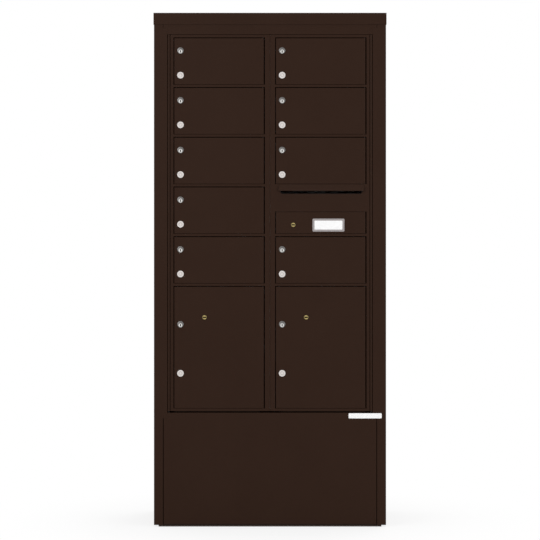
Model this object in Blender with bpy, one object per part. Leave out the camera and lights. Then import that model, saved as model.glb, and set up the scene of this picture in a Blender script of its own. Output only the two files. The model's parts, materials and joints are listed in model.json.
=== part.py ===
"""Free-standing mailbox cabinet: a sheet-metal cabinet that holds a two-column, front-loading mailbox module.

Metres, +Z up. The front faces -Y, and X = 0 is the middle of the front.
"""

import math

import bmesh
import bpy
from mathutils import Matrix

MM = 0.001

# Cabinet
HEIGHT = 1838 * MM
WIDTH = 830 * MM
DEPTH = 483 * MM
SHEET = 2 * MM
CLEAR = 0.3 * MM
BASE_THICK = 6 * MM
BASE_INSET_SIDE = 16.2 * MM
BASE_INSET_FRONT = 6 * MM
CAP_HEIGHT = 41 * MM
CAP_SKIRT = 1.5 * MM
FLANGE_NARROW = 32 * MM
FLANGE_WIDE = 47.5 * MM
LOWER_SEAM = 2.4 * MM
HEADER_SEAM = 1.2 * MM
FLANGE_STEP_BELOW_PANEL_TOP = 20.2 * MM
FLANGE_STEP_BELOW_TOP = 54 * MM
REAR_FLANGE = 30 * MM
PANEL_RETURN = 20 * MM
LOWER_PANEL_GAP = 6.1 * MM
HEADER_HEIGHT = 77 * MM

# Master doors
MASTER_TOP_GAP = 1.4 * MM
MASTER_SIDE_GAP = 0.5 * MM
TOP_RAIL = 9.3 * MM
BOTTOM_RAIL = 9.2 * MM
MASTER_DEPTH = 16 * MM
MASTER_STILE = 10.75 * MM
MASTER_MEETING_GAP = 0.9 * MM
MASTER_STILE_TO_AXIS = 5.8 * MM
MASTER_BARREL_R = 5.2 * MM
MASTER_PIN_R = 2.5 * MM
PIN_CLEAR = 0.4 * MM
WEB_DEPTH = 4 * MM

# Tenant, parcel and outgoing-mail doors
DOOR_PITCH = 177.8 * MM
DOOR_RAIL = 8.7 * MM
DOOR_INNER_X = 21.4 * MM
DOOR_SIDE_GAP = 3.05 * MM
DOOR_GAP_ABOVE = 3 * MM
DOOR_GAP_BELOW = 1.2 * MM
PARCEL_DOOR_HEIGHT = 434.1 * MM
DOOR_PAN_DEPTH = 12 * MM
DOOR_BARREL_R = 4 * MM
DOOR_ROD_R = 1.6 * MM
ROD_END_COVER = 2 * MM
TENANT_PER_LEFT = 5
PARCEL_ROW = 5

# Outgoing-mail compartment in the right column
OUTGOING_ROW = 3
OUTGOING_DOOR_HEIGHT = 76.7 * MM
OUTGOING_GAP_ABOVE = 1.3 * MM
MAIL_SLOT_BELOW_OPENING = 4.9 * MM
MAIL_SLOT_HEIGHT = 21 * MM
MAIL_SLOT_FROM_DOOR_LEFT = 13.3 * MM
MAIL_SLOT_FROM_DOOR_RIGHT = 10.2 * MM
MAIL_SLOT_TAPER = 7 * MM
SLOT_PANEL_THICK = 2.5 * MM
SLOT_PANEL_RIB = 8 * MM
SLOT_POCKET_SIDE = 2 * MM
HOOD_ABOVE_OPENING = 7.1 * MM
HOOD_HEIGHT = 23 * MM
HOOD_REACH = 12 * MM
HOOD_THICK = 1.5 * MM
HOOD_PAST_SLOT = 3.5 * MM

# Locks
LOCK_FROM_EDGE = 22 * MM
LOCK_FROM_TOP = 44 * MM
PARCEL_LOCK_FROM_TOP = 134 * MM
CARRIER_LOCK_FROM_EDGE = 108 * MM
CARRIER_LOCK_FROM_TOP = 109.3 * MM
ARROW_LOCK_FROM_EDGE = 61.9 * MM
ARROW_LOCK_FROM_LOW = 30.8 * MM
PLUG_R = 6.2 * MM
BRASS_PLUG_R = 7.2 * MM
PLUG_CLEAR = 0.4 * MM
PLUG_PROUD = 2 * MM
HOUSING_WALL = 0.9 * MM
BRASS_HOUSING_WALL = 1.2 * MM
HOUSING_PROUD = 1.2 * MM
PLUG_DROP = 3.4 * MM
LOCK_BODY_DEPTH = 13 * MM
LOCK_BODY_STEP = 0.3 * MM
CAM_THICK = 2 * MM
CAM_WIDTH = 12 * MM
CAM_REACH = 32 * MM
CAM_SHORT_REACH = 18 * MM
CAM_BACK = 19.5 * MM
ARROW_CAM_BACK = 26.2 * MM
KEYWAY = (2.6 * MM, 7.6 * MM)
BRASS_KEYWAY = (11 * MM, 3.6 * MM)
KEYWAY_DEEP = 3 * MM

# Sliding bolt worked by the arrow lock
BOLT_FROM_LOCK = 55.3 * MM
BOLT_LENGTH = 50 * MM
BOLT_HEIGHT = 14 * MM
BOLT_THICK = 3 * MM
GUIDE_FROM_LOCK = 43.3 * MM
GUIDE_LENGTH = 20 * MM
GUIDE_HEIGHT = 4 * MM
GUIDE_PAST_BOLT = 1 * MM

# Module box behind the doors
MODULE_FRONT = 20.3 * MM
MODULE_REAR_SPACE = 32.7 * MM
MODULE_PAST_AXIS = 1.7 * MM
MODULE_FLOOR_ABOVE_MASTER = 4.2 * MM
MODULE_LIP_FROM_SIDE = 20 * MM
MODULE_LIP_FROM_MIDDLE = 40 * MM
STRIKE_FRONT = 24 * MM
STRIKE_HALF = 14 * MM
SHELF_THICK = 1.5 * MM
SHELF_BELOW_OPENING = 0.5 * MM

# Plain plates
LABEL_FROM_EDGE = 130.6 * MM
LABEL_WIDTH = 114.2 * MM
LABEL_FROM_LOW = 6.7 * MM
LABEL_HEIGHT = 46.4 * MM
LABEL_THICK = 0.8 * MM
LABEL_CORNER = 4 * MM
BADGE_FROM_SIDE = 15.5 * MM
BADGE_WIDTH = 118.3 * MM
BADGE_BELOW_TOP = 1.8 * MM
BADGE_HEIGHT = 18.4 * MM
BADGE_THICK = 0.5 * MM
BADGE_CORNER = 3 * MM

BARREL_SIDES = 20
ROD_SIDES = 12
PLUG_SIDES = 20
CORNER_STEPS = 4
OVERCUT = 1 * MM
SMOOTH_ANGLE = math.radians(40)
FLAT_ANGLE = math.radians(0.05)
MOST_CORNERS = 4

# Derived positions across the front
HALF = WIDTH / 2
INNER_HALF = HALF - SHEET - CLEAR
FRAME_INNER = MASTER_MEETING_GAP / 2
MASTER_AXIS_X = HALF - FLANGE_WIDE - MASTER_SIDE_GAP - MASTER_BARREL_R
MASTER_STILE_X = MASTER_AXIS_X - MASTER_STILE_TO_AXIS
DOOR_OUTER_X = MASTER_STILE_X - MASTER_STILE - DOOR_SIDE_GAP
DOOR_WIDTH = DOOR_OUTER_X - DOOR_INNER_X
MODULE_HALF = MASTER_AXIS_X + MODULE_PAST_AXIS
MAIL_SLOT_LEFT = DOOR_INNER_X + MAIL_SLOT_FROM_DOOR_LEFT
MAIL_SLOT_RIGHT = DOOR_OUTER_X - MAIL_SLOT_FROM_DOOR_RIGHT
HOOD_LEFT = MAIL_SLOT_LEFT - HOOD_PAST_SLOT
HOOD_RIGHT = MAIL_SLOT_RIGHT + HOOD_PAST_SLOT
ARROW_LOCK_X = DOOR_INNER_X + ARROW_LOCK_FROM_EDGE
LABEL_LEFT = DOOR_INNER_X + LABEL_FROM_EDGE
LABEL_RIGHT = LABEL_LEFT + LABEL_WIDTH
BADGE_RIGHT = HALF - BADGE_FROM_SIDE
BADGE_LEFT = BADGE_RIGHT - BADGE_WIDTH

# Derived radii of the locks' housings
HOUSING_R = PLUG_DROP + PLUG_R + PLUG_CLEAR + HOUSING_WALL
BRASS_HOUSING_R = BRASS_PLUG_R + PLUG_CLEAR + BRASS_HOUSING_WALL

# Derived positions from front to back
CAP_OVERHANG = CAP_SKIRT + CLEAR
FRONT = (HOOD_REACH - DEPTH) / 2
BACK = FRONT + DEPTH
DOOR_AXIS_Y = FRONT + DOOR_BARREL_R
MODULE_BACK = BACK - MODULE_REAR_SPACE

# Derived heights, from the top down
CAP_LOW = HEIGHT - CAP_HEIGHT
BODY_HIGH = HEIGHT - CAP_SKIRT - CLEAR
BODY_LOW = BASE_THICK + CLEAR
HEADER_BOTTOM = HEIGHT - HEADER_HEIGHT
FLANGE_WIDE_HIGH = HEIGHT - FLANGE_STEP_BELOW_TOP
MASTER_HIGH = HEADER_BOTTOM - MASTER_TOP_GAP
FIRST_OPENING_TOP = MASTER_HIGH - TOP_RAIL
DOOR_HEIGHT = DOOR_PITCH - DOOR_RAIL - DOOR_GAP_ABOVE - DOOR_GAP_BELOW
OUTGOING_TOP = FIRST_OPENING_TOP - OUTGOING_ROW * DOOR_PITCH
HOOD_HIGH = OUTGOING_TOP + HOOD_ABOVE_OPENING
HOOD_LOW = HOOD_HIGH - HOOD_HEIGHT
MAIL_SLOT_HIGH = OUTGOING_TOP - MAIL_SLOT_BELOW_OPENING
MAIL_SLOT_LOW = MAIL_SLOT_HIGH - MAIL_SLOT_HEIGHT
OUTGOING_DOOR_LOW = OUTGOING_TOP - DOOR_PITCH + DOOR_RAIL + DOOR_GAP_BELOW
ARROW_LOCK_Z = OUTGOING_DOOR_LOW + ARROW_LOCK_FROM_LOW
LABEL_LOW = OUTGOING_DOOR_LOW + LABEL_FROM_LOW
LABEL_HIGH = LABEL_LOW + LABEL_HEIGHT
PARCEL_TOP = FIRST_OPENING_TOP - PARCEL_ROW * DOOR_PITCH - DOOR_GAP_ABOVE
PARCEL_LOW = PARCEL_TOP - PARCEL_DOOR_HEIGHT
MASTER_LOW = PARCEL_LOW - DOOR_GAP_BELOW - BOTTOM_RAIL
MODULE_FLOOR_TOP = MASTER_LOW + MODULE_FLOOR_ABOVE_MASTER
LOWER_PANEL_TOP = MASTER_LOW - LOWER_PANEL_GAP
FLANGE_WIDE_LOW = LOWER_PANEL_TOP - FLANGE_STEP_BELOW_PANEL_TOP
SUPPORT_TOP = LOWER_PANEL_TOP - SHEET - CLEAR
BADGE_HIGH = LOWER_PANEL_TOP - BADGE_BELOW_TOP
BADGE_LOW = BADGE_HIGH - BADGE_HEIGHT

POWDER_COAT = ((0.032, 0.017, 0.012, 1.0), 0.45, 0.0)
GALVANISED = ((0.42, 0.43, 0.44, 1.0), 0.42, 0.9)
STEEL = ((0.5, 0.5, 0.5, 1.0), 0.3, 1.0)
NICKEL = ((0.55, 0.55, 0.53, 1.0), 0.28, 1.0)
BRASS = ((0.36, 0.27, 0.11, 1.0), 0.3, 1.0)
WHITE_PLATE = ((0.85, 0.85, 0.84, 1.0), 0.5, 0.0)


def clear_scene():
    for obj in list(bpy.data.objects):
        bpy.data.objects.remove(obj, do_unlink=True)


def rectangle(a0, a1, b0, b1):
    return [(a0, b0), (a1, b0), (a1, b1), (a0, b1)]


def circle(centre, radius, sides):
    turns = [math.tau * i / sides for i in range(sides)]
    return [(centre[0] + radius * math.cos(t), centre[1] + radius * math.sin(t)) for t in turns]


def arc(centre, radius, start, end, steps):
    turns = [start + (end - start) * i / steps for i in range(steps + 1)]
    return [(centre[0] + radius * math.cos(t), centre[1] + radius * math.sin(t)) for t in turns]


def rounded_rectangle(a0, a1, b0, b1, radius):
    outline = []
    corners = [(a1, b1), (a0, b1), (a0, b0), (a1, b0)]
    for index, (a, b) in enumerate(corners):
        inward = (radius if a == a0 else -radius, radius if b == b0 else -radius)
        start = index * math.pi / 2
        outline += arc((a + inward[0], b + inward[1]), radius, start, start + math.pi / 2, CORNER_STEPS)
    return outline


def prism(outline, low, high, axis):
    """A closed solid: the outline, in the two axes other than the named one, swept from low to high."""
    place = {
        "X": lambda a, b, along: (along, a, b),
        "Y": lambda a, b, along: (a, along, b),
        "Z": lambda a, b, along: (a, b, along),
    }[axis]
    solid = bmesh.new()
    near = [solid.verts.new(place(a, b, low)) for a, b in outline]
    face = solid.faces.new(near)
    swept = bmesh.ops.extrude_face_region(solid, geom=[face])
    far = [v for v in swept["geom"] if isinstance(v, bmesh.types.BMVert)]
    bmesh.ops.translate(solid, verts=far, vec=place(0, 0, high - low))
    bmesh.ops.recalc_face_normals(solid, faces=solid.faces)
    return solid


def box(x0, x1, y0, y1, z0, z1):
    return prism(rectangle(x0, x1, y0, y1), z0, z1, "Z")


def mesh_of(name, solid):
    mesh = bpy.data.meshes.new(name)
    solid.to_mesh(mesh)
    solid.free()
    return mesh


def shape(name, base, joined=(), cut=()):
    """The mesh of a base solid with other solids joined to it and then cut from it."""
    body = bpy.data.objects.new(name, mesh_of(name, base))
    bpy.context.collection.objects.link(body)
    tools = []
    for operation, solids in (("UNION", joined), ("DIFFERENCE", cut)):
        for solid in solids:
            tool = bpy.data.objects.new(name + "_tool", mesh_of(name + "_tool", solid))
            bpy.context.collection.objects.link(tool)
            tool.hide_render = True
            tool.display_type = "WIRE"
            tools.append(tool)
            step = body.modifiers.new(operation.title(), "BOOLEAN")
            step.operation = operation
            step.solver = "EXACT"
            step.object = tool
    graph = bpy.context.evaluated_depsgraph_get()
    mesh = bpy.data.meshes.new_from_object(body.evaluated_get(graph))
    mesh.name = name
    for spare in [body, *tools]:
        bpy.data.objects.remove(spare, do_unlink=True)
    solid = bmesh.new()
    solid.from_mesh(mesh)
    bmesh.ops.dissolve_limit(
        solid, angle_limit=FLAT_ANGLE, verts=solid.verts, edges=solid.edges, use_dissolve_boundaries=False
    )
    bmesh.ops.triangulate(solid, faces=[f for f in solid.faces if len(f.verts) > MOST_CORNERS])
    solid.to_mesh(mesh)
    solid.free()
    mesh.shade_smooth()
    mesh.set_sharp_from_angle(angle=SMOOTH_ANGLE)
    return mesh


def finish(name, look):
    colour, roughness, metallic = look
    material = bpy.data.materials.new(name)
    material.use_nodes = True
    shader = material.node_tree.nodes["Principled BSDF"]
    shader.inputs["Base Color"].default_value = colour
    shader.inputs["Roughness"].default_value = roughness
    shader.inputs["Metallic"].default_value = metallic
    material.diffuse_color = colour
    return material


def place(name, mesh, look, location=(0, 0, 0), parent=None):
    obj = bpy.data.objects.new(name, mesh)
    bpy.context.collection.objects.link(obj)
    if not mesh.materials:
        mesh.materials.append(None)
    obj.material_slots[0].link = "OBJECT"
    obj.material_slots[0].material = finish(name, look)
    obj.location = location
    if parent:
        obj.parent = parent
        obj.location = [a - b for a, b in zip(location, parent.matrix_world.translation)]
    bpy.context.view_layer.update()
    return obj


def span(side, near, far):
    """The X range from near to far on one side of the middle, lower value first."""
    return (near, far) if side > 0 else (-far, -near)


def opening_top(row):
    return FIRST_OPENING_TOP - row * DOOR_PITCH


def opening_low(row):
    return opening_top(row) - DOOR_PITCH + DOOR_RAIL


def column_openings(side):
    """The Z range of each door opening in one master door, top first."""
    rows = [row for row in range(TENANT_PER_LEFT) if side < 0 or row != OUTGOING_ROW]
    spans = [(opening_low(row), opening_top(row)) for row in rows]
    spans.append((PARCEL_LOW - DOOR_GAP_BELOW, PARCEL_TOP + DOOR_GAP_ABOVE))
    if side > 0:
        outgoing_top = OUTGOING_DOOR_LOW + OUTGOING_DOOR_HEIGHT + OUTGOING_GAP_ABOVE
        spans.append((OUTGOING_DOOR_LOW - DOOR_GAP_BELOW, outgoing_top))
    return sorted(spans, reverse=True)


def door_axis_x(side):
    right_edge = DOOR_OUTER_X if side > 0 else -DOOR_INNER_X
    return right_edge - DOOR_BARREL_R


def cabinet():
    inner = (HALF - FLANGE_WIDE, HALF - FLANGE_NARROW)
    for side, word in ((-1, "left"), (1, "right")):
        outline = [
            (side * inner[0], FRONT),
            (side * HALF, FRONT),
            (side * HALF, BACK - SHEET - CLEAR),
            (side * (HALF - REAR_FLANGE), BACK - SHEET - CLEAR),
            (side * (HALF - REAR_FLANGE), BACK - 2 * SHEET - CLEAR),
            (side * (HALF - SHEET), BACK - 2 * SHEET - CLEAR),
            (side * (HALF - SHEET), FRONT + SHEET),
            (side * inner[0], FRONT + SHEET),
        ]
        trim = span(side, inner[0] - OVERCUT, inner[1])
        front = (FRONT - OVERCUT, FRONT + SHEET + OVERCUT)
        reach = span(side, inner[1], HALF - SHEET / 2)
        foot = box(*reach, FRONT + SHEET / 2, BACK - 2 * SHEET, BODY_LOW, BODY_LOW + SHEET)
        mesh = shape(
            "side_panel_" + word,
            prism(outline, BODY_LOW, BODY_HIGH, "Z"),
            joined=[foot],
            cut=[
                box(*trim, *front, BODY_LOW - OVERCUT, FLANGE_WIDE_LOW),
                box(*trim, *front, FLANGE_WIDE_HIGH, BODY_HIGH + OVERCUT),
            ],
        )
        place("side_panel_" + word, mesh, POWDER_COAT)

    narrow = inner[0] - CLEAR
    wide = inner[1] - LOWER_SEAM
    step = FLANGE_WIDE_LOW - CLEAR
    lower = [
        (-wide, BODY_LOW + SHEET + CLEAR),
        (wide, BODY_LOW + SHEET + CLEAR),
        (wide, step),
        (narrow, step),
        (narrow, LOWER_PANEL_TOP),
        (-narrow, LOWER_PANEL_TOP),
        (-narrow, step),
        (-wide, step),
    ]
    lower_return = box(
        -narrow, narrow, FRONT + SHEET / 2, FRONT + PANEL_RETURN, LOWER_PANEL_TOP - SHEET, LOWER_PANEL_TOP
    )
    mesh = shape("lower_front_panel", prism(lower, FRONT, FRONT + SHEET, "Y"), joined=[lower_return])
    place("lower_front_panel", mesh, POWDER_COAT)

    wide = inner[1] - HEADER_SEAM
    step = FLANGE_WIDE_HIGH + CLEAR
    header = [
        (-narrow, HEADER_BOTTOM),
        (narrow, HEADER_BOTTOM),
        (narrow, step),
        (wide, step),
        (wide, BODY_HIGH),
        (-wide, BODY_HIGH),
        (-wide, step),
        (-narrow, step),
    ]
    header_return = box(
        -narrow, narrow, FRONT + SHEET / 2, FRONT + PANEL_RETURN, HEADER_BOTTOM, HEADER_BOTTOM + SHEET
    )
    mesh = shape("header_panel", prism(header, FRONT, FRONT + SHEET, "Y"), joined=[header_return])
    place("header_panel", mesh, POWDER_COAT)

    back = box(-INNER_HALF - SHEET, INNER_HALF + SHEET, BACK - SHEET, BACK, BODY_LOW, CAP_LOW - CLEAR)
    place("back_panel", shape("back_panel", back), POWDER_COAT)

    sides = (-HALF + BASE_INSET_SIDE, HALF - BASE_INSET_SIDE)
    base = box(*sides, FRONT + BASE_INSET_FRONT, BACK - BASE_INSET_FRONT, 0, BASE_THICK)
    place("base_plate", shape("base_plate", base), POWDER_COAT)

    outer = (-HALF - CAP_OVERHANG, HALF + CAP_OVERHANG, FRONT - CAP_OVERHANG, BACK)
    hollow = (-HALF - CLEAR, HALF + CLEAR, FRONT - CLEAR, BACK - CAP_SKIRT)
    mesh = shape(
        "top_cap",
        box(*outer, CAP_LOW, HEIGHT),
        cut=[box(*hollow, CAP_LOW - OVERCUT, HEIGHT - CAP_SKIRT)],
    )
    place("top_cap", mesh, POWDER_COAT)

    support = box(
        -INNER_HALF,
        INNER_HALF,
        FRONT + SHEET + CLEAR,
        BACK - 2 * SHEET - 2 * CLEAR,
        SUPPORT_TOP - SHEET,
        SUPPORT_TOP,
    )
    place("module_support_shelf", shape("module_support_shelf", support), GALVANISED)


def module():
    front = FRONT + MODULE_FRONT
    low = SUPPORT_TOP + CLEAR
    wall = (MODULE_HALF - SHEET, MODULE_HALF)
    for side, word in ((-1, "left"), (1, "right")):
        mesh = shape("module_side_" + word, box(*span(side, *wall), front, MODULE_BACK, low, MASTER_HIGH))
        place("module_side_" + word, mesh, GALVANISED)

    inner = MODULE_HALF - SHEET - CLEAR
    back = box(-inner, inner, MODULE_BACK - SHEET, MODULE_BACK, low, MASTER_HIGH)
    place("module_back", shape("module_back", back), GALVANISED)

    rear = MODULE_BACK - SHEET - CLEAR
    top = box(-inner, inner, front, rear, MASTER_HIGH - SHEET, MASTER_HIGH)
    place("module_top", shape("module_top", top), GALVANISED)

    lips = []
    for side in (-1, 1):
        lip = span(side, MODULE_LIP_FROM_MIDDLE, inner - MODULE_LIP_FROM_SIDE)
        lips.append(box(*lip, front, front + SHEET, low, MODULE_FLOOR_TOP - SHEET / 2))
    floor = box(-inner, inner, front, rear, MODULE_FLOOR_TOP - SHEET, MODULE_FLOOR_TOP)
    place("module_floor", shape("module_floor", floor, joined=lips), POWDER_COAT)

    strike = FRONT + STRIKE_FRONT
    outline = [
        (-STRIKE_HALF, strike),
        (STRIKE_HALF, strike),
        (STRIKE_HALF, strike + SHEET),
        (SHEET / 2, strike + SHEET),
        (SHEET / 2, rear),
        (-SHEET / 2, rear),
        (-SHEET / 2, strike + SHEET),
        (-STRIKE_HALF, strike + SHEET),
    ]
    partition = prism(outline, MODULE_FLOOR_TOP + CLEAR, MASTER_HIGH - SHEET - CLEAR, "Z")
    place("centre_partition", shape("centre_partition", partition), GALVANISED)

    reach = (SHEET / 2 + CLEAR, inner)
    shelf_front = strike + SHEET + CLEAR
    for side, word in ((-1, "left"), (1, "right")):
        mesh = shape("shelf_" + word, box(*span(side, *reach), shelf_front, rear, -SHELF_THICK, 0))
        for number, (low, _) in enumerate(column_openings(side)[:-1], 1):
            height = low - SHELF_BELOW_OPENING
            place(f"shelf_{word}_{number}", mesh, GALVANISED, (0, 0, height))


def master_frame(side, word):
    """One master door: stiles and rails round its openings, with its hinge barrel down the outer edge."""
    stile = box(*span(side, FRAME_INNER, MASTER_STILE_X), FRONT, FRONT + MASTER_DEPTH, MASTER_LOW, MASTER_HIGH)
    axis = (side * MASTER_AXIS_X, FRONT + MASTER_BARREL_R)
    barrel = prism(circle(axis, MASTER_BARREL_R, BARREL_SIDES), MASTER_LOW, MASTER_HIGH, "Z")
    web = box(
        *span(side, MASTER_STILE_X - OVERCUT, MASTER_AXIS_X - MASTER_PIN_R - OVERCUT),
        axis[1],
        axis[1] + WEB_DEPTH,
        MASTER_LOW,
        MASTER_HIGH,
    )
    pin_bore = circle(axis, MASTER_PIN_R + PIN_CLEAR, ROD_SIDES)
    rod_bore = circle((door_axis_x(side), DOOR_AXIS_Y), DOOR_ROD_R + PIN_CLEAR, ROD_SIDES)
    cuts = [
        prism(pin_bore, MASTER_LOW - OVERCUT, MASTER_HIGH + OVERCUT, "Z"),
        prism(rod_bore, MASTER_LOW + ROD_END_COVER, MASTER_HIGH - ROD_END_COVER, "Z"),
    ]
    across = span(side, DOOR_INNER_X - DOOR_SIDE_GAP, DOOR_OUTER_X + DOOR_SIDE_GAP)
    through = (FRONT - OVERCUT, FRONT + MASTER_DEPTH + OVERCUT)
    for low, high in column_openings(side):
        cuts.append(box(*across, *through, low, high))
    if side > 0:
        pocket_right = door_axis_x(side) - DOOR_ROD_R - PIN_CLEAR - SLOT_POCKET_SIDE
        pocket_low = OUTGOING_DOOR_LOW + OUTGOING_DOOR_HEIGHT + OUTGOING_GAP_ABOVE + SLOT_PANEL_RIB
        pocket_high = opening_low(OUTGOING_ROW - 1) - SLOT_PANEL_RIB
        pocket_depth = (FRONT + SLOT_PANEL_THICK, FRONT + MASTER_DEPTH + OVERCUT)
        cuts.append(box(HOOD_LEFT, pocket_right, *pocket_depth, pocket_low, pocket_high))
        slot = [
            (MAIL_SLOT_LEFT + MAIL_SLOT_TAPER, MAIL_SLOT_LOW),
            (MAIL_SLOT_RIGHT - MAIL_SLOT_TAPER, MAIL_SLOT_LOW),
            (MAIL_SLOT_RIGHT, HOOD_LOW),
            (MAIL_SLOT_RIGHT, MAIL_SLOT_HIGH),
            (MAIL_SLOT_LEFT, MAIL_SLOT_HIGH),
            (MAIL_SLOT_LEFT, HOOD_LOW),
        ]
        cuts.append(prism(slot, *through, "Y"))
    name = "master_frame_" + word
    mesh = shape(name, stile, joined=[web, barrel], cut=cuts)
    mesh.transform(Matrix.Translation((-axis[0], -axis[1], 0)))
    frame = place(name, mesh, POWDER_COAT, (*axis, 0))

    pin = prism(circle((0, 0), MASTER_PIN_R, ROD_SIDES), LOWER_PANEL_TOP + CLEAR, HEADER_BOTTOM - CLEAR, "Z")
    place("master_hinge_pin_" + word, shape("master_hinge_pin_" + word, pin), STEEL, (*axis, 0))

    rod = prism(
        circle((0, 0), DOOR_ROD_R, ROD_SIDES),
        MASTER_LOW + ROD_END_COVER + CLEAR,
        MASTER_HIGH - ROD_END_COVER - CLEAR,
        "Z",
    )
    rod_at = (door_axis_x(side), DOOR_AXIS_Y, 0)
    place("door_hinge_rod_" + word, shape("door_hinge_rod_" + word, rod), STEEL, rod_at, frame)
    return frame


def door_mesh(name, height, locks, guides=()):
    """A folded pan with a rolled hinge barrel. Its origin is on the hinge axis, level with the bottom edge."""
    left = -DOOR_WIDTH + DOOR_BARREL_R
    face = -DOOR_BARREL_R
    rear = face + DOOR_PAN_DEPTH
    bore = DOOR_ROD_R + PIN_CLEAR
    roll = arc((0, 0), DOOR_BARREL_R, -math.pi / 2, math.pi / 2, BARREL_SIDES // 2)
    outline = [(left, rear), (left, face), *roll, (-bore, DOOR_BARREL_R), (-bore, rear)]
    joined = []
    cut = [
        box(left + SHEET, -bore - SHEET, face + SHEET, rear + OVERCUT, SHEET, height - SHEET),
        prism(circle((0, 0), bore, ROD_SIDES), -OVERCUT, height + OVERCUT, "Z"),
    ]
    for x, z, plug_r, housing_r, drop in locks:
        at = (left + x, z)
        hole = circle((left + x, z - drop), plug_r + PLUG_CLEAR, PLUG_SIDES)
        body = circle(at, housing_r - LOCK_BODY_STEP, PLUG_SIDES)
        joined.append(prism(circle(at, housing_r, PLUG_SIDES), face - HOUSING_PROUD, face + SHEET / 2, "Y"))
        joined.append(prism(body, face + SHEET / 2, face + LOCK_BODY_DEPTH, "Y"))
        cut.append(prism(hole, face - PLUG_PROUD - OVERCUT, rear + MASTER_DEPTH, "Y"))
    pan = shape(name + "_pan", prism(outline, 0, height, "Z"), cut=cut[:2])
    base = bmesh.new()
    base.from_mesh(pan)
    return shape(name, base, joined=[*joined, *guides], cut=cut[2:])


def lock_mesh(name, radius, cam_reach, back, key):
    """A lock plug with its cam hanging straight down. Its origin is on its axis, level with the door's face."""
    plug = prism(circle((0, 0), radius, PLUG_SIDES), -PLUG_PROUD, back, "Y")
    half = CAM_WIDTH / 2
    cam = prism(rectangle(-half, half, -cam_reach, 0), back - CAM_THICK, back, "Y")
    across, up = key[0] / 2, key[1] / 2
    keyway = box(-across, across, -PLUG_PROUD - OVERCUT, KEYWAY_DEEP - PLUG_PROUD, -up, up)
    return shape(name, plug, joined=[cam], cut=[keyway])


def doors(frames):
    tenant_lock = (LOCK_FROM_EDGE, DOOR_HEIGHT - LOCK_FROM_TOP, PLUG_R, HOUSING_R, PLUG_DROP)
    parcel_locks = [
        (LOCK_FROM_EDGE, PARCEL_DOOR_HEIGHT - PARCEL_LOCK_FROM_TOP, PLUG_R, HOUSING_R, PLUG_DROP),
        (
            CARRIER_LOCK_FROM_EDGE,
            PARCEL_DOOR_HEIGHT - CARRIER_LOCK_FROM_TOP,
            BRASS_PLUG_R,
            BRASS_HOUSING_R,
            0,
        ),
    ]
    tenant = door_mesh("tenant_door", DOOR_HEIGHT, [tenant_lock])
    parcel = door_mesh("parcel_door", PARCEL_DOOR_HEIGHT, parcel_locks)
    cam_lock = lock_mesh("cam_lock", PLUG_R, CAM_REACH, CAM_BACK, KEYWAY)
    carrier_lock = lock_mesh("carrier_lock", BRASS_PLUG_R, CAM_SHORT_REACH, CAM_BACK, BRASS_KEYWAY)

    for side, word in ((-1, "left"), (1, "right")):
        axis_x = door_axis_x(side)
        left_edge = DOOR_INNER_X if side > 0 else -DOOR_OUTER_X
        rows = [row for row in range(TENANT_PER_LEFT) if side < 0 or row != OUTGOING_ROW]
        for number, row in enumerate(rows, 1):
            low = opening_low(row) + DOOR_GAP_BELOW
            at = (axis_x, DOOR_AXIS_Y, low)
            door = place(f"tenant_door_{word}_{number}", tenant, POWDER_COAT, at, frames[side])
            lock_at = (left_edge + LOCK_FROM_EDGE, FRONT, low + DOOR_HEIGHT - LOCK_FROM_TOP - PLUG_DROP)
            place(f"tenant_lock_{word}_{number}", cam_lock, NICKEL, lock_at, door)
        at = (axis_x, DOOR_AXIS_Y, PARCEL_LOW)
        door = place("parcel_door_" + word, parcel, POWDER_COAT, at, frames[side])
        lock_at = (left_edge + LOCK_FROM_EDGE, FRONT, PARCEL_TOP - PARCEL_LOCK_FROM_TOP - PLUG_DROP)
        place("parcel_lock_" + word, cam_lock, NICKEL, lock_at, door)
        lock_at = (left_edge + CARRIER_LOCK_FROM_EDGE, FRONT, PARCEL_TOP - CARRIER_LOCK_FROM_TOP)
        place("carrier_lock_" + word, carrier_lock, BRASS, lock_at, door)


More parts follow.
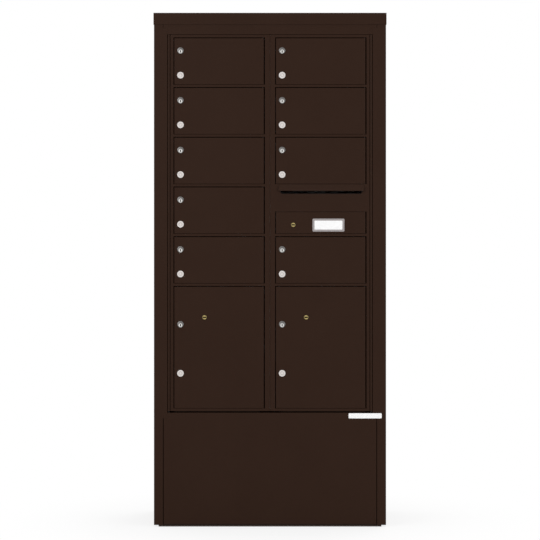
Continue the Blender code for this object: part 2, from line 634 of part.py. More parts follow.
def outgoing_mail(frame):
    axis = (door_axis_x(1), DOOR_AXIS_Y, OUTGOING_DOOR_LOW)
    bolt_front = FRONT + ARROW_CAM_BACK + CLEAR
    bolt_left = ARROW_LOCK_X - BOLT_FROM_LOCK
    guide_left = ARROW_LOCK_X - GUIDE_FROM_LOCK
    bolt_z = (ARROW_LOCK_Z - BOLT_HEIGHT / 2, ARROW_LOCK_Z + BOLT_HEIGHT / 2)
    guide_y = (FRONT + SHEET / 2 - axis[1], bolt_front + BOLT_THICK + GUIDE_PAST_BOLT - axis[1])
    guide_x = (guide_left - axis[0], guide_left + GUIDE_LENGTH - axis[0])
    guides = [
        box(*guide_x, *guide_y, bolt_z[1] + CLEAR - axis[2], bolt_z[1] + CLEAR + GUIDE_HEIGHT - axis[2]),
        box(*guide_x, *guide_y, bolt_z[0] - CLEAR - GUIDE_HEIGHT - axis[2], bolt_z[0] - CLEAR - axis[2]),
    ]
    lock = (
        ARROW_LOCK_FROM_EDGE,
        ARROW_LOCK_FROM_LOW,
        BRASS_PLUG_R,
        BRASS_HOUSING_R,
        0,
    )
    mesh = door_mesh("outgoing_door", OUTGOING_DOOR_HEIGHT, [lock], guides)
    door = place("outgoing_door", mesh, POWDER_COAT, axis, frame)

    mesh = lock_mesh("arrow_lock", BRASS_PLUG_R, CAM_SHORT_REACH, ARROW_CAM_BACK, BRASS_KEYWAY)
    place("arrow_lock", mesh, BRASS, (ARROW_LOCK_X, FRONT, ARROW_LOCK_Z), door)

    bolt = box(0, BOLT_LENGTH, 0, BOLT_THICK, -BOLT_HEIGHT / 2, BOLT_HEIGHT / 2)
    place("arrow_bolt", shape("arrow_bolt", bolt), STEEL, (bolt_left, bolt_front, ARROW_LOCK_Z), door)

    outline = rounded_rectangle(LABEL_LEFT, LABEL_RIGHT, LABEL_LOW, LABEL_HIGH, LABEL_CORNER)
    label = prism(outline, FRONT - CLEAR - LABEL_THICK, FRONT - CLEAR, "Y")
    place("label_plate", shape("label_plate", label), WHITE_PLATE, parent=door)

    face = FRONT - CLEAR
    tip = FRONT - HOOD_REACH
    outer = [(face, HOOD_HIGH), (tip, HOOD_LOW), (face, HOOD_LOW)]
    slope = (HOOD_HIGH - HOOD_LOW) / (HOOD_REACH - CLEAR)
    low = HOOD_LOW - OVERCUT
    inner_tip = tip + HOOD_THICK - OVERCUT / slope
    inner_rear = face + OVERCUT
    inner = [(inner_rear, low), (inner_tip, low), (inner_rear, low + slope * (inner_rear - inner_tip))]
    mesh = shape(
        "mail_slot_hood",
        prism(outer, HOOD_LEFT, HOOD_RIGHT, "X"),
        cut=[prism(inner, HOOD_LEFT + HOOD_THICK, HOOD_RIGHT - HOOD_THICK, "X")],
    )
    place("mail_slot_hood", mesh, POWDER_COAT, parent=frame)


def badge():
    outline = rounded_rectangle(BADGE_LEFT, BADGE_RIGHT, BADGE_LOW, BADGE_HIGH, BADGE_CORNER)
    plate = prism(outline, FRONT - CLEAR - BADGE_THICK, FRONT - CLEAR, "Y")
    place("front_badge", shape("front_badge", plate), WHITE_PLATE)


clear_scene()
cabinet()
module()
frames = {-1: master_frame(-1, "left"), 1: master_frame(1, "right")}
doors(frames)
outgoing_mail(frames[1])
badge()
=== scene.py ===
"""Looks for a free-standing mailbox cabinet: finishes, softened sheet edges, lock rings, keyways,
number discs, the label plate's card, and a plain studio."""

import json
import math

import bmesh
import bpy
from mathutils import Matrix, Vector

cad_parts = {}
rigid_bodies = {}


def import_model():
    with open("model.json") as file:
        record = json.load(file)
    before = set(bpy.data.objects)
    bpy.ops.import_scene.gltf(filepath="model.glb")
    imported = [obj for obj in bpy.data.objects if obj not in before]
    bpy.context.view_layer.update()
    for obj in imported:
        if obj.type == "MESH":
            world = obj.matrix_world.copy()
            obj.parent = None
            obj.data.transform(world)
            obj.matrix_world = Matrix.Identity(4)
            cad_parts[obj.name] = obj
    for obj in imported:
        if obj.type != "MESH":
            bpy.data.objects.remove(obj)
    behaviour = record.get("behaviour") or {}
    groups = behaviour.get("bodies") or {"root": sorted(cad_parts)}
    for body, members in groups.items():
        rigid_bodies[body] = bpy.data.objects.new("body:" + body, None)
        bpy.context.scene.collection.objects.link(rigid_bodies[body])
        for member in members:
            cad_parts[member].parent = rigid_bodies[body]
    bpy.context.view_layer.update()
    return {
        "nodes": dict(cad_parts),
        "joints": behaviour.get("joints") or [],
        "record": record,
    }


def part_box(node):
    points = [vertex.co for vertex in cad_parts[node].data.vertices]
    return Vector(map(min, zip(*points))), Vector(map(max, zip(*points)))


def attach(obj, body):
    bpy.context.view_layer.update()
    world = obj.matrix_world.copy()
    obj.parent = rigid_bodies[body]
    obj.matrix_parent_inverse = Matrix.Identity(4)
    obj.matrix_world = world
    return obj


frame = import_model()
nodes = frame["nodes"]
body_of_node = {
    node: body for body, members in frame["record"]["behaviour"]["bodies"].items() for node in members
}

MM = 0.001
LATHE_STEPS = 48
CORNER_STEPS = 8
SMOOTH_BELOW = math.radians(30)
MERGE_WITHIN = 1e-7
SURFACE_GAP = 0.05 * MM

# Soft edges of the CAD nodes.
SHEET_EDGE = 0.4 * MM
LOCK_EDGE = 0.3 * MM
INNER_EDGE = 0.25 * MM
PLATE_EDGE = 0.15 * MM
SOFTEN_ABOVE = math.radians(50)
INNER_SHEETS = ("shelf", "module_side", "module_back", "module_top", "centre_partition")
PLATES = ("front_badge", "label_plate")
HINGE_RODS = ("door_hinge_rod", "master_hinge_pin")

# Cam locks. A reach is measured out from the door's face. The pairs hold an inset from the rim and a reach, or
# for the collar's lip a step out from the hole and a reach.
PLUG_DROP = 3.4 * MM
BEZEL_R = 11.4 * MM
BEZEL_STEP = 10.9 * MM
PLUG_HOLE_R = 6.75 * MM
COLLAR_R = 7.75 * MM
KEYWAY = (2.6 * MM, 7.6 * MM)
# The keyway liner's rim lays a band of painted shade on the plug's face round the keyhole.
KEYWAY_RIM = 0.55 * MM
BEZEL_FIT = 0.15 * MM
BEZEL_SIDE_REACH = 1.4 * MM
BEZEL_ROUNDING = ((0.25 * MM, 1.85 * MM), (0.8 * MM, 2.1 * MM))
BEZEL_FACE_REACH = 2.2 * MM
BEZEL_SEAT_REACH = 1.3 * MM
COLLAR_ROUNDING = ((0.0, 2.15 * MM), (0.1 * MM, 2.5 * MM), (0.35 * MM, 2.7 * MM))
COLLAR_LIP = (
    (0.25 * MM, 2.7 * MM),
    (0.0, 2.5 * MM),
    (0.0, 1.35 * MM),
    (0.1 * MM, 1.35 * MM),
    (0.1 * MM, 2.15 * MM),
)

# Brass locks.
BRASS_BEZEL_R = 9.4 * MM
BRASS_STEP = 8.8 * MM
BRASS_HOLE_R = 7.75 * MM
BRASS_KEYWAY = (11 * MM, 3.6 * MM)
# Its rim is a band of painted shade too.
BRASS_KEYWAY_RIM = 0.75 * MM

# Keyways. Each ward runs from one share of the keyway's half length to another, down one of its long sides.
PLUG_FACE_REACH = 2 * MM
KEYWAY_ROOM = 0.08 * MM
KEYWAY_LIP = 0.03 * MM
WARD_FROM = 0.6 * MM
KEYWAY_DEEP = 2.9 * MM
WARD_SHARE = 0.28
WARDS = ((0.2, -0.3), (-0.6, -0.1))

# Number discs.
DISC_R = 11.8 * MM
DISC_BELOW_TOP = 132.1 * MM
PARCEL_DISC_BELOW_TOP = 309.5 * MM
DISC_RIM = (
    (0.4 * MM, SURFACE_GAP),
    (0.0, 0.35 * MM),
    (0.0, 0.8 * MM),
    (0.35 * MM, 1.15 * MM),
    (1.1 * MM, 1.3 * MM),
)
DISC_FACE_REACH = 1.35 * MM
DISC_RING_REACH = 0.95 * MM
DISC_RING_OUTER = (7.1 * MM, 6.7 * MM)
DISC_RING_INNER = (4.6 * MM, 4.2 * MM)
DISC_CROWN_R = 1.0 * MM
DISC_CROWN_REACH = 1.38 * MM

# The card on the label plate.
LABEL_BORDER = 7.2 * MM
CARD_THICK = 0.3 * MM
CARD_CORNER_R = 2 * MM
CARD_EDGE = 0.15 * MM
CARD_EDGE_ROUNDING = 0.3

# Studio. The view's width is what the camera takes in at the cabinet's front.
SENSOR_MM = 36
CAMERA_DISTANCE = 7.0
CAMERA_HEIGHT = 0.9183
CAMERA_CLIP_END = 100
VIEW_WIDTH = 1931.58 * MM
WORLD_LIGHT = 0.6
WORLD_SEEN = 1.0
FLOOR_HALF_SIZE = 30
FLOOR_GREY = 0.9
FLOOR_FADE_FROM = 0.35
FLOOR_FADE_TO = 1.1
FLOOR_WHITE_NEAR = 0.78
LAMPS = (
    {"name": "key", "at": (-2.6, -3.6, 2.6), "aim": (0, 0, 0.8), "size": 2.4, "watts": 58},
    {"name": "fill", "at": (3.2, -3.2, 1.6), "aim": (0, 0, 0.7), "size": 2.4, "watts": 40},
    {"name": "top", "at": (0, 0.4, 4.2), "aim": (0, 0, 1.0), "size": 3.0, "watts": 55},
    {"name": "back", "at": (1.5, 3.6, 2.6), "aim": (0, 0, 1.0), "size": 2.4, "watts": 60},
)


# ---------------------------------------------------------------- materials


class Finish:
    """One material's Principled shader, with short calls to wire nodes into it."""

    def __init__(self, name):
        self.material = bpy.data.materials.new(name)
        self.material.use_nodes = True
        self.tree = self.material.node_tree
        self.shader = self.tree.nodes["Principled BSDF"]
        coords = self.tree.nodes.new("ShaderNodeTexCoord")
        self.coords = coords.outputs["Object"]

    def set(self, **values):
        for key, value in values.items():
            self.shader.inputs[key.replace("_", " ")].default_value = value

    def stretch(self, scale):
        mapping = self.tree.nodes.new("ShaderNodeMapping")
        mapping.inputs["Scale"].default_value = scale
        self.tree.links.new(self.coords, mapping.inputs["Vector"])
        return mapping.outputs["Vector"]

    def noise(self, scale, detail=3.0, roughness=0.55, vector=None):
        noise = self.tree.nodes.new("ShaderNodeTexNoise")
        noise.inputs["Scale"].default_value = scale
        noise.inputs["Detail"].default_value = detail
        noise.inputs["Roughness"].default_value = roughness
        self.tree.links.new(vector or self.coords, noise.inputs["Vector"])
        return noise.outputs["Fac"]

    def cells(self, scale):
        cells = self.tree.nodes.new("ShaderNodeTexVoronoi")
        cells.inputs["Scale"].default_value = scale
        self.tree.links.new(self.coords, cells.inputs["Vector"])
        return cells.outputs["Color"]

    def radius(self, full):
        """Distance from the piece's own Y axis, as a share of its full radius."""
        flat = self.tree.nodes.new("ShaderNodeVectorMath")
        flat.operation = "MULTIPLY"
        flat.inputs[1].default_value = (1.0, 0.0, 1.0)
        self.tree.links.new(self.coords, flat.inputs[0])
        length = self.tree.nodes.new("ShaderNodeVectorMath")
        length.operation = "LENGTH"
        self.tree.links.new(flat.outputs["Vector"], length.inputs[0])
        return self.range(length.outputs["Value"], 0.0, 1.0, source_low=0.0, source_high=full)

    def ramp(self, source, stops):
        ramp = self.tree.nodes.new("ShaderNodeValToRGB")
        while len(ramp.color_ramp.elements) < len(stops):
            ramp.color_ramp.elements.new(0.5)
        for element, (position, colour) in zip(ramp.color_ramp.elements, stops):
            element.position = position
            element.color = (*colour, 1.0)
        self.tree.links.new(source, ramp.inputs["Fac"])
        return ramp.outputs["Color"]

    def range(self, source, low, high, source_low=0.3, source_high=0.7):
        remap = self.tree.nodes.new("ShaderNodeMapRange")
        remap.inputs["From Min"].default_value = source_low
        remap.inputs["From Max"].default_value = source_high
        remap.inputs["To Min"].default_value = low
        remap.inputs["To Max"].default_value = high
        self.tree.links.new(source, remap.inputs["Value"])
        return remap.outputs["Result"]

    def multiply(self, first, second):
        mix = self.tree.nodes.new("ShaderNodeMix")
        mix.data_type = "RGBA"
        mix.blend_type = "MULTIPLY"
        mix.inputs["Factor"].default_value = 1.0
        self.tree.links.new(first, mix.inputs["A"])
        self.tree.links.new(second, mix.inputs["B"])
        return next(out for out in mix.outputs if out.type == "RGBA")

    def bump(self, height, strength, distance):
        bump = self.tree.nodes.new("ShaderNodeBump")
        bump.inputs["Strength"].default_value = strength
        bump.inputs["Distance"].default_value = distance
        self.tree.links.new(height, bump.inputs["Height"])
        self.tree.links.new(bump.outputs["Normal"], self.shader.inputs["Normal"])

    def to(self, source, name):
        self.tree.links.new(source, self.shader.inputs[name])


def powder_coat(name, dark, light):
    """Satin powder coat: a fine orange-peel grain with flecks in it, over a slow drift in colour."""
    m = Finish(name)
    m.set(Metallic=0.0, Specular_IOR_Level=0.1)
    mottle = m.noise(scale=7.0, detail=4.0, roughness=0.6)
    grain = m.noise(scale=950.0, detail=2.0, roughness=0.5)
    base = m.ramp(mottle, [(0.3, dark), (0.7, light)])
    fleck = m.ramp(grain, [(0.35, (0.78, 0.78, 0.78)), (0.65, (1.0, 1.0, 1.0))])
    m.to(m.multiply(base, fleck), "Base Color")
    m.to(m.range(m.noise(scale=420.0), low=0.46, high=0.53), "Roughness")
    m.bump(grain, strength=0.35, distance=0.0006)
    return m.material


def galvanised():
    """Zinc-coated sheet: small spangles in two greys under a slow clouding."""
    m = Finish("galvanised_sheet")
    m.set(Metallic=0.75)
    spangle = m.ramp(m.cells(scale=120.0), [(0.0, (0.31, 0.32, 0.33)), (1.0, (0.42, 0.43, 0.44))])
    cloud = m.ramp(m.noise(scale=5.0, detail=4.0), [(0.3, (0.82, 0.82, 0.82)), (0.7, (1.0, 1.0, 1.0))])
    m.to(m.multiply(spangle, cloud), "Base Color")
    m.to(m.range(m.noise(scale=60.0), low=0.46, high=0.62), "Roughness")
    m.bump(m.noise(scale=180.0), strength=0.08, distance=0.0003)
    return m.material


def plated(name, light, dark, rough):
    """Plated or solid bright metal with fine polishing lines and a little tarnish."""
    m = Finish(name)
    m.set(Metallic=1.0)
    lines = m.noise(scale=1.0, detail=3.0, roughness=0.6, vector=m.stretch((400.0, 400.0, 60.0)))
    tarnish = m.noise(scale=260.0, detail=4.0, roughness=0.6)
    m.to(m.ramp(tarnish, [(0.35, dark), (0.65, light)]), "Base Color")
    m.to(m.range(lines, *rough), "Roughness")
    m.bump(lines, strength=0.06, distance=0.0001)
    return m.material


def plain_plate(name, light, dark, rough):
    """Painted plate or card: a faint unevenness in colour and sheen."""
    m = Finish(name)
    m.set(Metallic=0.0, Specular_IOR_Level=0.4)
    m.to(m.ramp(m.noise(scale=60.0), [(0.3, dark), (0.7, light)]), "Base Color")
    m.to(m.range(m.noise(scale=420.0), rough - 0.06, rough + 0.06), "Roughness")
    m.bump(m.noise(scale=900.0), strength=0.05, distance=0.0001)
    return m.material


def disc_finish():
    """Silver-white disc whose pressed ring is darker: partly dirt, partly painted shade in its hollow."""
    unmarked_face = (1, 1, 1)
    ring_dirt_and_shade = (0.8, 0.79, 0.78)
    m = Finish("disc_silver_white")
    m.set(Metallic=0.0, Specular_IOR_Level=0.4)
    # The pressed ring is darker: dirt and painted shade in its hollow.
    ring = m.ramp(m.radius(DISC_R), [(0.33, unmarked_face), (0.39, ring_dirt_and_shade), (0.56, ring_dirt_and_shade), (0.62, unmarked_face)])
    base = m.ramp(m.noise(scale=60.0), [(0.3, (0.62, 0.58, 0.56)), (0.7, (0.68, 0.64, 0.62))])
    m.to(m.multiply(base, ring), "Base Color")
    m.to(m.range(m.noise(scale=420.0), low=0.36, high=0.48), "Roughness")
    m.bump(m.noise(scale=900.0), strength=0.05, distance=0.0001)
    return m.material


POWDER = powder_coat("powder_coat_bronze", dark=(0.0242, 0.0092, 0.0040), light=(0.0262, 0.0104, 0.0048))
# The base plate's coat is a dark grey, made lighter still as painted light against the shade it gets near the
# floor.
BASE_GREY_AND_PAINTED_LIGHT = powder_coat("base_grey_and_painted_light", dark=(0.070, 0.051, 0.043), light=(0.076, 0.056, 0.048))
GALVANISED = galvanised()
STEEL = plated("zinc_steel", light=(0.50, 0.50, 0.49), dark=(0.38, 0.38, 0.37), rough=(0.26, 0.4))
NICKEL = plated("bright_nickel", light=(0.80, 0.79, 0.77), dark=(0.68, 0.67, 0.65), rough=(0.16, 0.3))
# The lock bezels' nickel is made dark as a painted dark reflection.
NICKEL_PAINTED_DARK_REFLECTION = plated("nickel_painted_dark_reflection", light=(0.17, 0.163, 0.16), dark=(0.11, 0.105, 0.10), rough=(0.34, 0.46))
NICKEL_SOFT = plated("worn_nickel", light=(0.58, 0.57, 0.56), dark=(0.44, 0.43, 0.42), rough=(0.22, 0.36))
BRASS = plated("lock_brass", light=(0.50, 0.395, 0.17), dark=(0.39, 0.30, 0.12), rough=(0.24, 0.4))
BRASS_DARK = plated("aged_brass", light=(0.075, 0.052, 0.028), dark=(0.05, 0.034, 0.018), rough=(0.34, 0.5))
DARK_ZINC = plated("dark_zinc", light=(0.030, 0.027, 0.025), dark=(0.020, 0.018, 0.017), rough=(0.4, 0.55))
# Near-black keyway liners: painted shade in the keyholes.
KEYWAY_PAINTED_SHADE = plated("keyway_painted_shade", light=(0.014, 0.012, 0.010), dark=(0.008, 0.007, 0.006), rough=(0.5, 0.7))
DISC = disc_finish()
CARD = plain_plate("label_white", light=(0.93, 0.93, 0.93), dark=(0.89, 0.89, 0.89), rough=0.55)
LABEL_FRAME = plain_plate("label_frame_grey", light=(0.33, 0.30, 0.30), dark=(0.29, 0.265, 0.265), rough=0.5)

SLOT_LOOK = {
    "powder_coat": POWDER,
    "galvanised": GALVANISED,
    "steel": STEEL,
    "nickel": NICKEL,
    "brass": BRASS,
    "white_plate": CARD,
}


# ---------------------------------------------------------------- CAD nodes


def wear(obj, material):
    obj.data.materials.clear()
    obj.data.materials.append(material)


def dress_cad():
    """Gives each CAD node its slot's finish, but the hinge rods and pins and two plates have their own."""
    for part in frame["record"]["subparts"]:
        hinge = part["node"].startswith(HINGE_RODS)
        wear(nodes[part["node"]], DARK_ZINC if hinge else SLOT_LOOK[part["material_slot"]])
    wear(nodes["label_plate"], LABEL_FRAME)
    # The base plate's grey is partly painted light.
    wear(nodes["base_plate"], BASE_GREY_AND_PAINTED_LIGHT)


def soften(obj, width, segments=2):
    """Rounds the sharp edges of a CAD node a little, as folded and coated sheet has."""
    bevel = obj.modifiers.new("soft_edges", "BEVEL")
    bevel.width = width
    bevel.segments = segments
    bevel.limit_method = "ANGLE"
    bevel.angle_limit = SOFTEN_ABOVE
    bevel.use_clamp_overlap = True
    bevel.harden_normals = False


def soften_cad():
    for node, obj in nodes.items():
        if node.startswith(INNER_SHEETS):
            soften(obj, INNER_EDGE, 1)
        elif node in PLATES:
            soften(obj, PLATE_EDGE)
        elif "lock" in node:
            soften(obj, LOCK_EDGE)
        elif not node.startswith(HINGE_RODS):
            soften(obj, SHEET_EDGE)


# ---------------------------------------------------------------- shape helpers


def link(name, mesh, body, material, location):
    """Adds a piece to the scene, riding on its body. Pieces that share a mesh share its material."""
    obj = bpy.data.objects.new(name, mesh)
    bpy.context.scene.collection.objects.link(obj)
    if not mesh.materials:
        mesh.materials.append(material)
    obj.location = location
    bpy.context.view_layer.update()
    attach(obj, body)


def finish_mesh(name, work):
    bmesh.ops.remove_doubles(work, verts=work.verts, dist=MERGE_WITHIN)
    bmesh.ops.recalc_face_normals(work, faces=work.faces)
    mesh = bpy.data.meshes.new(name)
    work.to_mesh(mesh)
    work.free()
    mesh.shade_smooth()
    mesh.set_sharp_from_angle(angle=SMOOTH_BELOW)
    return mesh


def ring_between(work, outer, inner):
    """Bridges two rings of the same number of points."""
    count = len(outer)
    for i in range(count):
        j = (i + 1) % count
        work.faces.new((outer[i], outer[j], inner[j], inner[i]))


def circle_points(work, radius, reach, centre_z=0.0):
    made = []
    for i in range(LATHE_STEPS):
        turn = math.tau * i / LATHE_STEPS
        made.append(work.verts.new((radius * math.cos(turn), -reach, centre_z + radius * math.sin(turn))))
    return made


def lathe_ring(name, profile):
    """A closed ring round the Y axis. Its profile's points are a radius, a reach and, off centre, a z."""
    work = bmesh.new()
    loops = [circle_points(work, *point) for point in profile]
    for outer, inner in zip(loops, loops[1:] + loops[:1]):
        ring_between(work, outer, inner)
    return finish_mesh(name, work)


def stack_mesh(name, work, loops):
    """A solid through these loops of points, closed by a face at each end."""
    for outer, inner in zip(loops, loops[1:]):
        ring_between(work, outer, inner)
    work.faces.new(loops[-1])
    work.faces.new(loops[0])
    return finish_mesh(name, work)


# ---------------------------------------------------------------- door furniture


def bezel_mesh(name, outer_r, step_r, hole_r, drop):
    """A lock's face ring over the door's boss, with its bore dropped below the middle."""
    boss_r = step_r + BEZEL_FIT
    bore_r = hole_r + BEZEL_FIT
    profile = [(outer_r, SURFACE_GAP), (outer_r, BEZEL_SIDE_REACH)]
    profile += [(outer_r - inset, reach) for inset, reach in BEZEL_ROUNDING]
    profile += [(bore_r, BEZEL_FACE_REACH, -drop), (bore_r, BEZEL_SEAT_REACH, -drop)]
    profile += [(boss_r, BEZEL_SEAT_REACH), (boss_r, SURFACE_GAP)]
    return lathe_ring(name, profile)


def collar_mesh(name, outer_r, hole_r):
    """The raised bright lip round a lock's plug."""
    profile = [(outer_r - inset, reach) for inset, reach in COLLAR_ROUNDING]
    profile += [(hole_r + past, reach) for past, reach in COLLAR_LIP]
    return lathe_ring(name, profile)


def keyway_outline(half_wide, half_high, ward):
    """A keyway's corners as (x, z), with a ward of this depth on each long side.

    A wide keyway is a tall one turned."""
    short, long = sorted((half_wide, half_high))
    (left_top, left_low), (right_low, right_top) = WARDS
    corners = [
        (short, long),
        (-short, long),
        (-short, long * left_top),
        (-short + ward, long * left_top),
        (-short + ward, long * left_low),
        (-short, long * left_low),
        (-short, -long),
        (short, -long),
        (short, long * right_low),
        (short - ward, long * right_low),
        (short - ward, long * right_top),
        (short, long * right_top),
    ]
    if half_high > half_wide:
        return corners
    turned = [(z, -x) for x, z in corners]
    return turned[1:] + turned[:1]


def keyway_mesh(name, wide, high, rim):
    """A near-black liner in a keyway, painted shade for the hole's depth: an open shell with a rim on the
    plug's face, which spreads that painted shade, and two wards.
    """
    work = bmesh.new()
    half_wide = wide / 2 - KEYWAY_ROOM
    half_high = high / 2 - KEYWAY_ROOM
    ward = WARD_SHARE * min(half_wide, half_high)

    def section(depth, reach, grow=0.0):
        return [
            work.verts.new((x + math.copysign(grow, x), -reach, z + math.copysign(grow, z)))
            for x, z in keyway_outline(half_wide, half_high, depth)
        ]

    # The lip is a band of painted shade on the plug's face.
    lip = section(0.0, PLUG_FACE_REACH + KEYWAY_LIP, rim)
    mouth = section(0.0, PLUG_FACE_REACH + KEYWAY_LIP)
    ring_between(work, lip, mouth)
    throat = section(ward, PLUG_FACE_REACH - WARD_FROM)
    deep = section(ward, PLUG_FACE_REACH - KEYWAY_DEEP)
    ring_between(work, mouth, throat)
    ring_between(work, throat, deep)
    work.faces.new(deep)
    mesh = finish_mesh(name, work)
    mesh.flip_normals()
    return mesh


def disc_mesh(name):
    """A blank number disc: a thin coin with a rounded rim and one shallow ring pressed into its face."""
    outer_top, outer_floor = DISC_RING_OUTER
    inner_floor, inner_top = DISC_RING_INNER
    profile = [(DISC_R - inset, reach) for inset, reach in DISC_RIM]
    profile += [
        (outer_top, DISC_FACE_REACH),
        (outer_floor, DISC_RING_REACH),
        (inner_floor, DISC_RING_REACH),
        (inner_top, DISC_FACE_REACH),
        (DISC_CROWN_R, DISC_CROWN_REACH),
    ]
    work = bmesh.new()
    return stack_mesh(name, work, [circle_points(work, *point) for point in profile])


def card_mesh(name, width, height):
    """A card with rounded corners and a small rolled edge, centred on X and Z, its face at y = 0."""
    work = bmesh.new()

    def loop(inset, y):
        made = []
        r = CARD_CORNER_R - inset
        for quarter, (sx, sz) in enumerate(((1, 1), (-1, 1), (-1, -1), (1, -1))):
            cx = sx * (width / 2 - inset - r)
            cz = sz * (height / 2 - inset - r)
            for i in range(CORNER_STEPS + 1):
                turn = quarter * math.pi / 2 + math.pi / 2 * i / CORNER_STEPS
                made.append(work.verts.new((cx + r * math.cos(turn), y, cz + r * math.sin(turn))))
        return made

    rolled = CARD_EDGE * CARD_EDGE_ROUNDING
    loops = [loop(0.0, CARD_THICK), loop(0.0, CARD_EDGE), loop(rolled, rolled), loop(CARD_EDGE, 0.0)]
    return stack_mesh(name, work, loops)


def dress_doors():
    """Each lock gets its ring and keyway, and each cam lock its collar and the number disc below it."""
    face_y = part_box("side_panel_left")[0][1]
    cam_bezel = bezel_mesh("cam_lock_bezel", BEZEL_R, BEZEL_STEP, PLUG_HOLE_R, PLUG_DROP)
    brass_bezel = bezel_mesh("brass_lock_bezel", BRASS_BEZEL_R, BRASS_STEP, BRASS_HOLE_R, 0.0)
    disc = disc_mesh("number_disc")
    collar = collar_mesh("cam_lock_collar", COLLAR_R, PLUG_HOLE_R)
    key = keyway_mesh("cam_lock_keyway", *KEYWAY, KEYWAY_RIM)
    brass_key = keyway_mesh("brass_lock_keyway", *BRASS_KEYWAY, BRASS_KEYWAY_RIM)
    for node in sorted(nodes):
        if not node.startswith(("tenant_lock", "parcel_lock", "carrier_lock", "arrow_lock")):
            continue
        joint = next(j for j in frame["joints"] if j["child"] == node)
        x, _, z = joint["pos_m"]
        door = joint["parent"]
        plug_at = (x, face_y, z)
        if node.startswith(("tenant", "parcel")):
            below = PARCEL_DISC_BELOW_TOP if node.startswith("parcel") else DISC_BELOW_TOP
            disc_at = (x, face_y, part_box(door)[1][2] - below)
            # The bezel is nickel darkened as a painted reflection.
            link("bezel_" + node, cam_bezel, door, NICKEL_PAINTED_DARK_REFLECTION, (x, face_y, z + PLUG_DROP))
            link("collar_" + node, collar, door, NICKEL_SOFT, plug_at)
            # The keyway liner is painted shade.
            link("keyway_" + node, key, node, KEYWAY_PAINTED_SHADE, plug_at)
            link("disc_" + door, disc, door, DISC, disc_at)
        else:
            link("bezel_" + node, brass_bezel, door, BRASS_DARK, plug_at)
            link("keyway_" + node, brass_key, node, KEYWAY_PAINTED_SHADE, plug_at)


def dress_label():
    """A white card on the label plate, which leaves the plate's border showing."""
    low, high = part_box("label_plate")
    card = card_mesh("label_card", high[0] - low[0] - 2 * LABEL_BORDER, high[2] - low[2] - 2 * LABEL_BORDER)
    at = ((low[0] + high[0]) / 2, low[1] - CARD_THICK - SURFACE_GAP, (low[2] + high[2]) / 2)
    link("label_card", card, body_of_node["label_plate"], CARD, at)


# ---------------------------------------------------------------- studio


def background_rays(tree):
    """Gives 1 for the rays that see the backdrop: the camera's, and those that metal and glass show it by."""
    path = tree.nodes.new("ShaderNodeLightPath")
    value = path.outputs["Is Camera Ray"]
    for name in ("Is Glossy Ray", "Is Transmission Ray"):
        either = tree.nodes.new("ShaderNodeMath")
        either.operation = "MAXIMUM"
        tree.links.new(value, either.inputs[0])
        tree.links.new(path.outputs[name], either.inputs[1])
        value = either.outputs[0]
    return value


def floor_paint():
    """Pale floor: it takes the cabinet's shadow close by and runs out to plain white further off."""
    paint = bpy.data.materials.new("studio_floor")
    paint.use_nodes = True
    tree = paint.node_tree
    shader = tree.nodes["Principled BSDF"]
    shader.inputs["Base Color"].default_value = (FLOOR_GREY, FLOOR_GREY, FLOOR_GREY, 1)
    shader.inputs["Roughness"].default_value = 1.0
    shader.inputs["Specular IOR Level"].default_value = 0.0
    white = tree.nodes.new("ShaderNodeEmission")
    coords = tree.nodes.new("ShaderNodeTexCoord")
    reach = tree.nodes.new("ShaderNodeVectorMath")
    reach.operation = "LENGTH"
    tree.links.new(coords.outputs["Object"], reach.inputs[0])
    fade = tree.nodes.new("ShaderNodeMapRange")
    fade.interpolation_type = "SMOOTHSTEP"
    fade.inputs["From Min"].default_value = FLOOR_FADE_FROM
    fade.inputs["From Max"].default_value = FLOOR_FADE_TO
    fade.inputs["To Min"].default_value = FLOOR_WHITE_NEAR
    fade.inputs["To Max"].default_value = 1.0
    tree.links.new(reach.outputs["Value"], fade.inputs["Value"])
    share = tree.nodes.new("ShaderNodeMath")
    share.operation = "MULTIPLY"
    tree.links.new(fade.outputs["Result"], share.inputs[0])
    tree.links.new(background_rays(tree), share.inputs[1])
    mix = tree.nodes.new("ShaderNodeMixShader")
    tree.links.new(share.outputs[0], mix.inputs["Fac"])
    tree.links.new(shader.outputs["BSDF"], mix.inputs[1])
    tree.links.new(white.outputs["Emission"], mix.inputs[2])
    tree.links.new(mix.outputs["Shader"], tree.nodes["Material Output"].inputs["Surface"])
    return paint


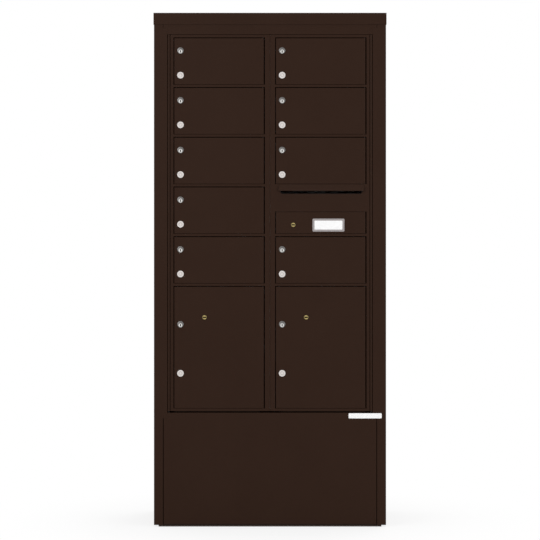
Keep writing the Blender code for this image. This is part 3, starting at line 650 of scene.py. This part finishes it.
def add_camera():
    """Looks straight at the cabinet's front from about half its height."""
    camera = bpy.data.cameras.new("camera")
    camera.sensor_width = SENSOR_MM
    camera.lens = SENSOR_MM * CAMERA_DISTANCE / VIEW_WIDTH
    camera.clip_end = CAMERA_CLIP_END
    eye = bpy.data.objects.new("camera", camera)
    bpy.context.scene.collection.objects.link(eye)
    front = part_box("side_panel_left")[0][1]
    eye.location = (0, front - CAMERA_DISTANCE, CAMERA_HEIGHT)
    eye.rotation_euler = (math.radians(90), 0, 0)
    bpy.context.scene.camera = eye


def add_world():
    """A white world, dimmer as light on the cabinet than as the backdrop that is seen."""
    world = bpy.data.worlds.new("studio")
    bpy.context.scene.world = world
    world.use_nodes = True
    tree = world.node_tree
    background = tree.nodes["Background"]
    background.inputs["Color"].default_value = (1, 1, 1, 1)
    strength = tree.nodes.new("ShaderNodeMapRange")
    strength.inputs["To Min"].default_value = WORLD_LIGHT
    strength.inputs["To Max"].default_value = WORLD_SEEN
    tree.links.new(background_rays(tree), strength.inputs["Value"])
    tree.links.new(strength.outputs["Result"], background.inputs["Strength"])


def add_floor():
    work = bmesh.new()
    bmesh.ops.create_grid(work, x_segments=1, y_segments=1, size=FLOOR_HALF_SIZE)
    mesh = bpy.data.meshes.new("studio_floor")
    work.to_mesh(mesh)
    work.free()
    mesh.materials.append(floor_paint())
    floor = bpy.data.objects.new("studio_floor", mesh)
    bpy.context.scene.collection.objects.link(floor)


def add_lamp(name, at, aim, size, watts):
    lamp = bpy.data.lights.new(name, "AREA")
    lamp.shape = "RECTANGLE"
    lamp.size = size
    lamp.size_y = size
    lamp.energy = watts
    obj = bpy.data.objects.new(name, lamp)
    bpy.context.scene.collection.objects.link(obj)
    obj.location = at
    obj.rotation_euler = (Vector(aim) - Vector(at)).to_track_quat("-Z", "Y").to_euler()


def studio():
    bpy.context.scene.view_settings.view_transform = "Standard"
    add_camera()
    add_world()
    add_floor()
    for lamp in LAMPS:
        add_lamp(**lamp)


dress_cad()
soften_cad()
dress_doors()
dress_label()
studio()
